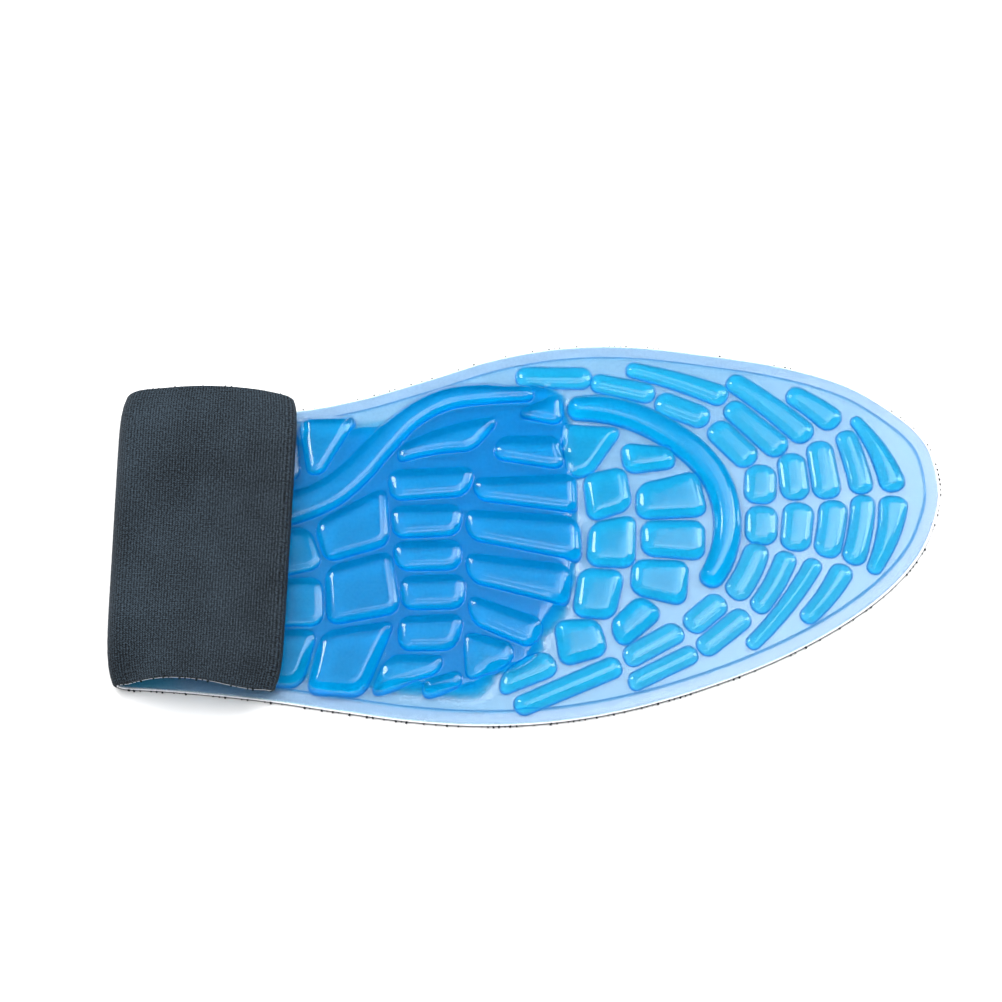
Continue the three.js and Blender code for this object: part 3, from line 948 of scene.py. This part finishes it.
@dataclass
class TopCloth:
    """The knit cloth, black on the face that meets the foot and white where the gel is bonded to it."""

    roll: HeelRoll
    cut: FlatCut
    thickness: float = 1.0
    edge_round: float = 0.18
    dry_edge: float = 0.5
    white_share: float = 0.35
    straight_row: float = 2.6
    turn_row: float = 8.0
    across_step: float = 2.6
    rim_clear: float = 1.6

    def build(
        self, face: bpy.types.Material, reverse: bpy.types.Material, bonded: bpy.types.Material
    ) -> bpy.types.Object:
        """Builds the cloth.

        Args:
            face: The material of the black face.
            reverse: The material of the white reverse.
            bonded: The material of the reverse where the gel is bonded to it.

        Returns:
            The cloth's object.
        """
        rim = self.cut.loop(self.edge_round)
        bond = self.cut.loop(self.dry_edge)
        rows = self.roll.rows(self.straight_row, self.turn_row)
        inner = even_points(rim, rows, self.across_step, self.rim_clear)
        flat, tris, loop = triangulate(rim, [bond], inner)
        split = -self.thickness * self.white_share
        wall = (-self.edge_round, split, self.edge_round - self.thickness)
        layers = [(flat, 0.0), *((self.cut.line, rise) for rise in wall), (flat, -self.thickness)]
        starts = np.cumsum([0] + [len(points) for points, _ in layers])
        points = np.concatenate([self.roll.place(points, rise) for points, rise in layers])
        rims = [np.arange(start, start + len(loop)) for start in starts[1:-2]]
        white = [tris, bridge([loop, rims[0], rims[1]])]
        black = [bridge([rims[1], rims[2], starts[-2] + loop]), starts[-2] + tris[:, ::-1]]
        slots = np.repeat([1, 0], [sum(map(len, white)), sum(map(len, black))])
        slots[:len(tris)] += inside_distance(flat[tris].mean(1), bond) > 0
        where = np.concatenate([points for points, _ in layers])
        faces = np.concatenate(white + black)
        obj = mesh_object("knit_cloth", points, faces, [face, reverse, bonded], slots, where)
        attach(obj, "root")
        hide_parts("top_cloth")
        return obj


@dataclass
class GelSole:
    """The moulded gel: a sheet with a bead inside its edge, two long bands and the raised cells."""

    roll: HeelRoll
    cut: FlatCut
    # The sheet: thin, thinner outside the bead, and thicker in the roll.
    sheet: float = 0.38
    flange: float = 0.28
    fold_sheet: float = 1.0
    fold_sheet_from: float = 172.0
    fold_sheet_over: float = 12.0
    sunk: float = 0.05
    # How far the sheet stops short of the cloth's edge, and how its own edge is rounded.
    margin: float = 0.3
    toe_margin: float = 0.5
    toe_reach: float = 16.0
    heel_margin: float = 0.8
    heel_reach: float = 10.0
    rim_round: float = 0.4
    # The bead, which dies out at the fold.
    bead_inset: float = 3.3
    bead_half: float = 0.3
    bead_height: float = 0.4
    bead_power: float = 2.5
    bead_fade: float = 6.0
    # Strength of the painted shade line along the bead.
    bead_shade_tint: float = 0.8
    # The cells and the bands.
    arch_band_height: float = 4.0
    ball_band_height: float = 3.0
    corner: float = 3.0
    corner_share: float = 0.45
    spine_step: float = 1.6
    # Half the width of the painted shade line along the foot of each wall.
    foot_shade_half: float = 0.3
    # The web of thicker gel between cells that lie close together.
    web_height: float = 2.4
    web_gap: float = 8.2
    web_fade: float = 3.2
    web_ahead: float = 18.0
    web_inset: float = 6.0
    web_slope: float = 2.5
    patch_reach: float = 1.4
    patch_fade: float = 0.8
    # How strongly painted shade darkens the channels, and how far up the walls it fades out.
    channel_shade_tint: float = 0.4
    channel_wall: float = 0.3
    # The spacing of the mesh.
    straight_row: float = 1.6
    turn_row: float = 8.0
    across_step: float = 1.6
    rim_clear: float = 0.9
    foot_clear: float = 0.7
    wall_clear: float = 2.9
    under_step: float = 4.0
    under_clear: float = 1.0
    raised: list[Raised] = field(default_factory=list)

    RIM_STEPS = (0.05, 0.15, 0.4)
    BEAD_STEPS = (-2.4, -1.4, -1, -0.9, -0.7, -0.4, 0, 0.4, 0.7, 0.9, 1, 1.4, 2.4)
    CORNER_TURNS = tuple(range(0, 91, 15))
    CELL_SAMPLES = 25
    BAND_SAMPLES = 12
    FEWEST_CORNERS = 6
    BATCHES = 40
    FAR = 99.0

    # How a raised cell's wall climbs: distance inside its foot, and the share of its height there.
    WALL = (
        (-0.3, 0.0),
        (-0.15, 0.0),
        (-0.05, 0.02),
        (0.0, 0.08),
        (0.04, 0.3),
        (0.1, 0.44),
        (0.2, 0.55),
        (0.36, 0.64),
        (0.66, 0.74),
        (1.0, 0.82),
        (1.4, 0.9),
        (1.75, 0.96),
        (2.1, 0.99),
        (2.5, 1.0),
    )

    def bar(
        self, spine: Points, tangent: Points, widths: np.ndarray, slants: tuple[float, float]
    ) -> Points:
        """The outline of a bar with rounded corners along a spine.

        Args:
            spine: Points along the spine.
            tangent: Their unit tangents.
            widths: The bar's full width at each point.
            slants: How far its two ends lean, in degrees.

        Returns:
            The outline's corners, left side out and right side back.
        """
        reach = np.concatenate([[0], np.cumsum(np.linalg.norm(np.diff(spine, axis=0), axis=1))])
        length = reach[-1]
        share = self.corner_share
        corners = [min(self.corner, share * width, share * length) for width in (widths[0], widths[-1])]
        arc = 1 - np.cos(np.radians(self.CORNER_TURNS))
        steps = max(2, round(length / self.spine_step))
        middle = np.linspace(corners[0], length - corners[1], steps)[1:-1]
        stops = np.concatenate([corners[0] * arc, middle, length - corners[1] * arc[::-1]])
        along = [np.interp(stops, reach, column) for column in (*spine.T, *tangent.T, widths)]
        point, aim, full = np.stack(along[:2], 1), np.stack(along[2:4], 1), along[4] / 2
        ends = np.minimum(stops, length - stops)
        corner = np.where(stops < length / 2, corners[0], corners[1])
        bite = np.maximum(0, corner - ends)
        half = full - corner + np.sqrt(np.maximum(0, corner**2 - bite**2))
        lean = np.tan(np.radians(np.interp(stops, (0, length), slants)))[:, None]
        out = np.stack([-aim[:, 1], aim[:, 0]], 1) + lean * aim
        return np.concatenate([point + half[:, None] * out, (point - half[:, None] * out)[::-1]])

    def cell(self, row: CellRow) -> Points:
        """Draws a cell of the table.

        Args:
            row: The cell's row.

        Returns:
            The outline of its foot.
        """
        a, b = np.array([row.ax, row.ay]), np.array([row.bx, row.by])
        line = (b - a) / np.linalg.norm(b - a)
        control = (a + b) / 2 + 2 * row.bow * np.array([-line[1], line[0]])
        u = np.linspace(0, 1, self.CELL_SAMPLES)[:, None]
        spine = (1 - u) ** 2 * a + 2 * u * (1 - u) * control + u**2 * b
        aim = (1 - u) * (control - a) + u * (b - control)
        aim /= np.linalg.norm(aim, axis=1)[:, None]
        return self.bar(spine, aim, row.wa + (row.wb - row.wa) * u[:, 0], (row.slant_a, row.slant_b))

    def band(self, rows: Sequence[BandRow]) -> Points:
        """Draws a long band.

        Args:
            rows: The stations on its spine.

        Returns:
            The outline of its foot.
        """
        stations = np.array([(row.ahead, row.side) for row in rows])
        line, aim = smooth_line(stations, False, self.BAND_SAMPLES)
        at = np.linspace(0, len(rows) - 1, len(line))
        widths = np.interp(at, range(len(rows)), [row.width for row in rows])
        return self.bar(line, aim, widths, (0.0, 0.0))

    def chart(self) -> None:
        """Works out the outline and height of every raised cell and band, on the flat cut."""
        feet = [
            (self.cell(row), group.height, group.webbed) for group, rows in CELLS.items() for row in rows
        ]
        feet.append((self.band(ARCH_BAND), self.arch_band_height, True))
        feet.append((self.band(BALL_BAND), self.ball_band_height, False))
        self.raised = [
            Raised(np.stack([TOE_AHEAD - foot[:, 0], foot[:, 1]], 1)[::-1], height, webbed)
            for foot, height, webbed in feet
        ]

    def climb(self, foot: Points) -> list[Points]:
        """Draws loops round a raised cell, one for each step of its wall.

        Args:
            foot: The outline of the cell's foot.

        Returns:
            The loops from the outermost to the innermost.
        """
        probe, least_share = 0.05, 0.8
        tangent = np.roll(foot, -1, axis=0) - np.roll(foot, 1, axis=0)
        tangent /= np.linalg.norm(tangent, axis=1)[:, None]
        normal = np.stack([tangent[:, 1], -tangent[:, 0]], 1)
        if inside_distance(foot + probe * normal, foot).mean() < 0:
            normal = -normal
        loops = []
        for inset, _ in self.WALL:
            moved = foot + inset * normal
            if inset > 0:
                moved = moved[inside_distance(moved, foot) > least_share * inset]
            if len(moved) > self.FEWEST_CORNERS:
                loops.append(moved)
        return loops

    def margin_at(self, run: np.ndarray) -> np.ndarray:
        """Works out how far the gel stops short of the cloth's cut edge.

        Args:
            run: Distances back from the toe tip.

        Returns:
            The margin at each.
        """
        toe = (self.toe_margin - self.margin) * np.exp(-((run / self.toe_reach) ** 2))
        from_heel = (CUT[-1].run - run) / self.heel_reach
        heel = (self.heel_margin - self.margin) * np.exp(-(from_heel**2))
        return self.margin + toe + heel

    def walls(self, flat: Points) -> tuple[np.ndarray, np.ndarray, np.ndarray, np.ndarray]:
        """Measures points against every raised cell and band.

        Args:
            flat: The points to measure.

        Returns:
            The share of its wall that each point has climbed, the height of that wall's cell, how
            strongly painted shade darkens it near the foot of a wall, and how wide the gap is that it
            lies in.
        """
        wall, top, line = (np.zeros(len(flat)) for _ in range(3))
        first, second = (np.full(len(flat), self.FAR) for _ in range(2))
        steps, shares = zip(*self.WALL)
        for foot, height, webbed in self.raised:
            low, high = foot.min(0) - self.web_gap, foot.max(0) + self.web_gap
            near = np.flatnonzero(((flat > low) & (flat < high)).all(1))
            deep = inside_distance(flat[near], foot)
            climbed = np.interp(deep, steps, shares)
            higher = climbed > wall[near]
            wall[near[higher]], top[near[higher]] = climbed[higher], height
            # Painted shade: a darker line along the foot of each wall.
            line[near] = np.maximum(line[near], 1 - np.abs(deep) / self.foot_shade_half)
            if webbed:
                apart = np.maximum(0, -deep)
                second[near] = np.minimum(second[near], np.maximum(first[near], apart))
                first[near] = np.minimum(first[near], apart)
        return wall, top, line, first + second

    def web_share(self, flat: Points, gap: np.ndarray, edge: np.ndarray) -> np.ndarray:
        """Works out how far the web fills the channels.

        Args:
            flat: The points to measure.
            gap: How wide the gap between webbed cells is at each.
            edge: How far each lies inside the gel's outline.

        Returns:
            The share of the web's height at each point.
        """
        run, side = flat[:, 0], flat[:, 1]
        share = fade(gap, self.web_gap, -self.web_fade)
        for patch in WEB_PATCHES:
            along = (TOE_AHEAD - run - patch.ahead) / patch.along
            reach = np.hypot(along, (side - patch.side) / patch.across)
            share = np.maximum(share, fade(reach, self.patch_reach, -self.patch_fade))
        share *= fade(run, TOE_AHEAD - self.web_ahead, self.web_slope)
        share *= fade(edge, self.web_inset, self.web_slope)
        return share**2 * (3 - 2 * share)

    def relief(self, flat: Points, rim: Points) -> tuple[np.ndarray, np.ndarray]:
        """Works out the relief of the gel's upper face.

        Args:
            flat: The points to measure.
            rim: The gel's outline.

        Returns:
            The height of each point above the cloth, and how strongly painted shade darkens the gel
            there: at the foot of a wall, along the bead and in the web's channels.
        """
        run = flat[:, 0]
        edge = np.concatenate([inside_distance(part, rim) for part in np.array_split(flat, self.BATCHES)])
        curl = fade(edge, self.rim_round, -self.rim_round)
        past_bead = np.clip((edge + self.margin - self.bead_inset) / self.bead_half, -1, 1)
        sheet = self.flange + (self.sheet - self.flange) * (past_bead + 1) / 2
        sheet += (self.fold_sheet - sheet) * fade(run, self.fold_sheet_from, self.fold_sheet_over)
        rise = sheet * (0.5 + 0.5 * np.sqrt(1 - curl**2))
        wall, top, line, gap = self.walls(flat)
        channel = self.web_share(flat, gap, edge)
        web = self.web_height * channel
        raised = web + np.maximum(0, top - web) * wall
        bead = self.bead_height * (1 - np.abs(past_bead) ** self.bead_power)
        bead *= fade(run, FOLD_RUN, -self.bead_fade)
        # Painted shade in the web's channels, fading out up the walls.
        channel_painted_shade = self.channel_shade_tint * channel * fade(wall, self.channel_wall, -self.channel_wall)
        # Painted shade: a darker line along the bead's crest.
        bead_painted_shade = self.bead_shade_tint * (1 - np.abs(past_bead))
        return rise + np.maximum(raised, bead), np.maximum.reduce([line, channel_painted_shade, bead_painted_shade])

    def build(self, gel: bpy.types.Material) -> bpy.types.Object:
        """Builds the gel.

        Args:
            gel: The gel's material.

        Returns:
            The gel's object.
        """
        self.chart()
        margin = self.margin_at(self.cut.line[:, 0])
        rim = self.cut.loop(margin)
        crest = self.bead_inset - self.margin
        lines = [self.cut.loop(margin + inset) for inset in self.RIM_STEPS]
        lines += [self.cut.loop(margin + crest + step * self.bead_half)[::2] for step in self.BEAD_STEPS]
        lines += [loop for cell in self.raised for loop in self.climb(cell.foot)]
        rows = self.roll.rows(self.straight_row, self.turn_row)
        spread = even_points(rim, rows, self.across_step, self.rim_clear)
        for cell in self.raised:
            deep = inside_distance(spread, cell.foot)
            spread = spread[(deep < -self.foot_clear) | (deep > self.wall_clear)]
        flat, tris, loop = triangulate(rim, lines, spread)
        below = even_points(rim, rows, self.under_step, self.under_clear)
        under, under_tris, under_loop = triangulate(rim, [], below)
        rise, line = self.relief(flat, rim)
        points = np.concatenate([self.roll.place(flat, rise), self.roll.place(under, -self.sunk)])
        start = len(flat)
        faces = np.concatenate([tris, bridge([loop, start + under_loop]), start + under_tris[:, ::-1]])
        obj = mesh_object("gel_underside", points, faces, [gel])
        # The painted shade is kept on the gel as a point attribute that its material reads.
        tint = np.concatenate([line, np.zeros(len(under))])
        painted_gel_shade = obj.data.attributes.new(PAINTED_GEL_SHADE, "FLOAT", "POINT")
        painted_gel_shade.data.foreach_set("value", tint.astype(np.float32))
        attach(obj, "root")
        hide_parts("gel_sole")
        return obj


@dataclass
class EdgeYarns:
    """The cut yarn ends along the cloth's edge, set out by a node tree that follows the edge."""

    roll: HeelRoll
    cut: FlatCut
    pitch: float = 1.3
    kept: float = 0.6
    length: float = 0.5
    thickness: float = 0.6
    tip_share: float = 0.3
    smallest: float = 0.6
    largest: float = 1.2
    sides: int = 6
    stray: float = 0.35
    inset: float = 0.15
    rise: float = -0.45
    seed: int = 11

    def guide(self) -> bpy.types.Object:
        """Lays a line along the cut edge, with the way out of the cloth kept at each point.

        Returns:
            The line's object.
        """
        line = self.roll.place(self.cut.loop(self.inset), self.rise)
        out = self.roll.place(self.cut.line, self.rise) - line
        out /= np.linalg.norm(out, axis=1)[:, None]
        mesh = bpy.data.meshes.new("edge_line")
        mesh.from_pydata(line.tolist(), [(i, (i + 1) % len(line)) for i in range(len(line))], [])
        outward = mesh.attributes.new("outward", "FLOAT_VECTOR", "POINT")
        outward.data.foreach_set("vector", out.astype(np.float32).ravel())
        return add_object("edge_line", mesh)

    def tree(self) -> bpy.types.NodeTree:
        """Builds the node tree that stands yarn ends along a line.

        Returns:
            The tree.
        """
        tree = bpy.data.node_groups.new("yarn_ends", "GeometryNodeTree")
        for name, kind in (
            ("Geometry", "Geometry"), ("Pitch", "Float"), ("Kept", "Float"), ("Length", "Float"),
            ("Thickness", "Float"), ("Stray", "Float"), ("Seed", "Int"), ("Yarn", "Material"),
        ):
            tree.interface.new_socket(name, in_out="INPUT", socket_type=f"NodeSocket{kind}")
        tree.interface.new_socket("Geometry", in_out="OUTPUT", socket_type="NodeSocketGeometry")
        given = add_node(tree, "NodeGroupInput").outputs
        line = add_node(tree, "GeometryNodeMeshToCurve", links={"Mesh": given["Geometry"]})
        stops = add_node(
            tree, "GeometryNodeResampleCurve",
            links={"Curve": line.outputs["Curve"], "Length": given["Pitch"]}, mode="LENGTH",
        )
        keep = add_node(
            tree, "FunctionNodeRandomValue",
            links={"Probability": given["Kept"], "Seed": given["Seed"]}, data_type="BOOLEAN",
        )
        out = add_node(
            tree, "GeometryNodeInputNamedAttribute", {"Name": "outward"}, data_type="FLOAT_VECTOR",
        )
        astray = add_node(
            tree, "FunctionNodeRandomValue", {0: (-1, -1, -1), 1: (1, 1, 1)},
            {"Seed": given["Seed"]}, data_type="FLOAT_VECTOR",
        )
        aim = add_node(
            tree, "ShaderNodeVectorMath",
            links={0: astray.outputs[0], 1: given["Stray"], 2: out.outputs["Attribute"]},
            operation="MULTIPLY_ADD",
        )
        turn = add_node(
            tree, "FunctionNodeAlignRotationToVector", links={"Vector": aim.outputs["Vector"]}, axis="Z",
        )
        size = add_node(
            tree, "FunctionNodeRandomValue", {2: self.smallest, 3: self.largest},
            {"Seed": given["Seed"]}, data_type="FLOAT",
        )
        half, tip = (
            add_node(tree, "ShaderNodeMath", {1: share}, {0: given["Thickness"]}, operation="MULTIPLY")
            for share in (0.5, self.tip_share)
        )
        yarn = add_node(
            tree, "GeometryNodeMeshCone", {"Vertices": self.sides},
            {"Radius Top": tip.outputs[0], "Radius Bottom": half.outputs[0], "Depth": given["Length"]},
        )
        yarns = add_node(
            tree, "GeometryNodeInstanceOnPoints",
            links={
                "Points": stops.outputs["Curve"],
                "Selection": keep.outputs[3],
                "Instance": yarn.outputs["Mesh"],
                "Rotation": turn.outputs["Rotation"],
                "Scale": size.outputs[1],
            },
        )
        real = add_node(tree, "GeometryNodeRealizeInstances", links={0: yarns.outputs["Instances"]})
        dressed = add_node(
            tree, "GeometryNodeSetMaterial",
            links={"Geometry": real.outputs[0], "Material": given["Yarn"]},
        )
        add_node(tree, "NodeGroupOutput", links={"Geometry": dressed.outputs["Geometry"]})
        return tree

    def build(self, yarn: bpy.types.Material) -> bpy.types.Object:
        """Builds the yarn ends.

        Args:
            yarn: The yarn's material.

        Returns:
            The yarn ends' object.
        """
        guide = self.guide()
        modifier = guide.modifiers.new("yarn_ends", "NODES")
        modifier.node_group = self.tree()
        given = {
            "Pitch": self.pitch * MM,
            "Kept": self.kept,
            "Length": self.length * MM,
            "Thickness": self.thickness * MM,
            "Stray": self.stray,
            "Seed": self.seed,
            "Yarn": yarn,
        }
        for item in modifier.node_group.interface.items_tree:
            if item.name in given:
                modifier[item.identifier] = given[item.name]
        depsgraph = bpy.context.evaluated_depsgraph_get()
        mesh = bpy.data.meshes.new_from_object(guide.evaluated_get(depsgraph))
        bpy.data.objects.remove(guide)
        obj = add_object("edge_yarns", mesh)
        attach(obj, "root")
        return obj


@dataclass
class Studio:
    """A pale table under soft studio light, seen from the photograph's angle."""

    elevation: float = 66.0
    azimuth: float = 1.8
    target: tuple[float, float, float] = (-6.25, 7.75, 0.0)
    distance: float = 800.0
    lens: float = 124.2
    sensor: float = 36.0
    world_strength: float = 0.45
    table_half: float = 3000.0

    def camera(self) -> None:
        """Places the camera."""
        up, turn = math.radians(self.elevation), math.radians(self.azimuth)
        aim = Vector((-math.sin(turn) * math.cos(up), math.cos(turn) * math.cos(up), -math.sin(up)))
        data = bpy.data.cameras.new("camera")
        data.lens = self.lens
        data.sensor_width = self.sensor
        obj = add_object("camera", data)
        obj.location = (Vector(self.target) - aim * self.distance) * MM
        obj.rotation_euler = aim.to_track_quat("-Z", "Y").to_euler()
        bpy.context.scene.camera = obj

    def hang(self, box: Softbox) -> None:
        """Hangs a softbox that faces the insole.

        Args:
            box: The softbox.
        """
        data = bpy.data.lights.new(box.name, "AREA")
        data.shape = "RECTANGLE"
        data.size, data.size_y = box.size
        data.energy = box.watts
        obj = add_object(box.name, data)
        obj.location = box.place
        obj.rotation_euler = (-Vector(box.place)).to_track_quat("-Z", "Y").to_euler()
        obj.visible_glossy = box.mirrored

    def light(self) -> None:
        """Sets the soft light: a white room that gloss doesn't mirror, and the softboxes."""
        world = bpy.data.worlds.new("soft_studio")
        world.use_nodes = True
        background = world.node_tree.nodes["Background"].inputs
        background["Color"].default_value = linear("#ffffff")
        background["Strength"].default_value = self.world_strength
        world.cycles_visibility.glossy = False
        bpy.context.scene.world = world
        for box in SOFTBOXES:
            self.hang(box)
        bpy.context.scene.view_settings.view_transform = "Standard"

    def table(self) -> None:
        """Lays the pale table."""
        mesh = bpy.data.meshes.new("table")
        half = self.table_half * MM
        corners = [(-half, -half, 0), (half, -half, 0), (half, half, 0), (-half, half, 0)]
        mesh.from_pydata(corners, [], [(0, 1, 2, 3)])
        material = bpy.data.materials.new("white_paper")
        material.use_nodes = True
        paper = material.node_tree.nodes["Principled BSDF"].inputs
        paper["Base Color"].default_value = linear("#f6f6f6")
        paper["Roughness"].default_value = 0.8
        paper["Specular IOR Level"].default_value = 0.1
        mesh.materials.append(material)
        obj = add_object("table", mesh)

    def build(self) -> None:
        """Sets up the camera, the light and the table."""
        self.camera()
        self.light()
        self.table()


def main() -> None:
    """Builds the insole and the studio, and reports each piece."""
    logging.basicConfig(level=logging.INFO, format="%(name)s: %(message)s")
    Studio().build()
    roll = HeelRoll()
    # Where the gel is bonded, its bonding film gives the white reverse a lilac tint.
    bonded = WhiteReverse("bonded_knit_reverse", pale="#dfd0ec", dark="#d8c9e7")
    looks = [look.material() for look in (BlackKnit(), WhiteReverse(), bonded)]
    cloth = TopCloth(roll, FlatCut(step=1.2)).build(*looks)
    gel = GelSole(roll, FlatCut(step=0.8)).build(ClearBlueGel().material())
    yarns = EdgeYarns(roll, FlatCut(step=1.0)).build(BlackYarn().material())
    for piece in (cloth, gel, yarns):
        piece.data.calc_loop_triangles()
        LOG.info("%s: %d triangles", piece.name, len(piece.data.loop_triangles))


if __name__ == "__main__":
    main()
